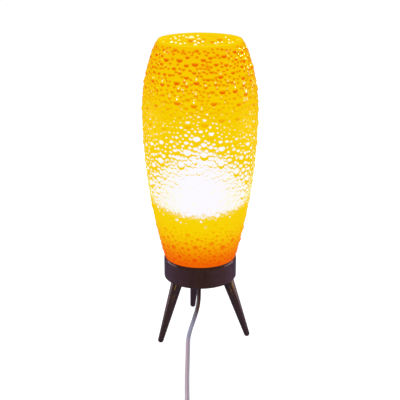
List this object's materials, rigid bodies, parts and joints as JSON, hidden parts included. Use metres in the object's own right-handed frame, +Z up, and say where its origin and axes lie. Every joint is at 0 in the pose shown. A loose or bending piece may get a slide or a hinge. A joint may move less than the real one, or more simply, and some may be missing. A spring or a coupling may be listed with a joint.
{
  "type": "table lamp",
  "caption": "Tripod table lamp with a barrel-shaped amber bubble-textured shade open at the top, seated on a dark turned wooden base with splayed tapered legs and a clear flat flex",
  "frame": {"origin": "on the floor, on the lamp's axis, below the middle of the base", "axes": "+Z up along the lamp's axis, -Y to the viewer of the picture, +X to the viewer's right"},
  "size_m": [0.1437, 0.4104, 0.37],
  "materials": {
    "amber_acrylic": "gloss",
    "dark_wood": "satin",
    "dark_wood_legs": "gloss",
    "brass": "satin",
    "steel": "satin",
    "black_bakelite": "gloss",
    "porcelain": "gloss",
    "pearl_glass": "satin",
    "clear_glass": "gloss",
    "bulb_metal": "satin",
    "clear_flex": "gloss",
    "soft_black": "matte",
    "dark_plastic": "gloss",
    "pale_plastic": "gloss"
  },
  "bodies": {
    "stand": {"base_block": "dark_wood", "leg_back": "dark_wood_legs", "leg_front_left": "dark_wood_legs", "leg_front_right": "dark_wood_legs", "nipple": "brass", "nipple_washer": "steel", "nipple_nut": "brass", "holder_cap": "black_bakelite", "holder_shell": "black_bakelite", "holder_insert": "porcelain", "holder_thread": "brass", "holder_contact": "brass", "holder_terminals": "brass", "holder_screws": "brass", "lead_wires": "clear_flex", "cord_grip": "soft_black", "cord_drop": "clear_flex", "switch_lower_case": "dark_plastic", "switch_upper_case": "dark_plastic", "switch_pivot": "steel", "switch_blades": "brass", "switch_screws": "steel", "cord_link": "clear_flex", "cord_coil": "clear_flex", "cord_tie": "soft_black", "cord_tail": "clear_flex", "plug_boot": "dark_plastic", "plug_body": "dark_plastic", "plug_pins": "bulb_metal"},
    "shade": {"shade": "amber_acrylic"},
    "bulb_seat": {"bulb_contact": "bulb_metal"},
    "bulb": {"bulb_glass": "pearl_glass", "bulb_cap": "bulb_metal", "bulb_insulator": "black_bakelite", "bulb_stem": "clear_glass", "bulb_filament": "steel"},
    "rocker": {"switch_rocker": "pale_plastic"}
  },
  "joints": [
    {"name": "shade_lift", "type": "slide", "parent": "stand", "child": "shade", "axis": [0, 0, 1], "range_m": [0, 0.16]},
    {"name": "bulb_rise", "type": "slide", "parent": "stand", "child": "bulb_seat", "axis": [0, 0, 1], "range_m": [0, 0.00907]},
    {"name": "bulb_turn", "type": "hinge", "parent": "bulb_seat", "child": "bulb", "pos_m": [0, 0, 0.13], "axis": [0, 0, 1], "range_deg": [0, 900]},
    {"name": "rocker_tip", "type": "hinge", "parent": "stand", "child": "rocker", "pos_m": [-0.014, -0.241, 0.0108], "axis": [1, 0, 0], "range_deg": [0, 16]}
  ],
  "couplings": [
    {"joint": "bulb_turn", "follows": "bulb_rise", "rad_per_m": 1730.9}
  ]
}
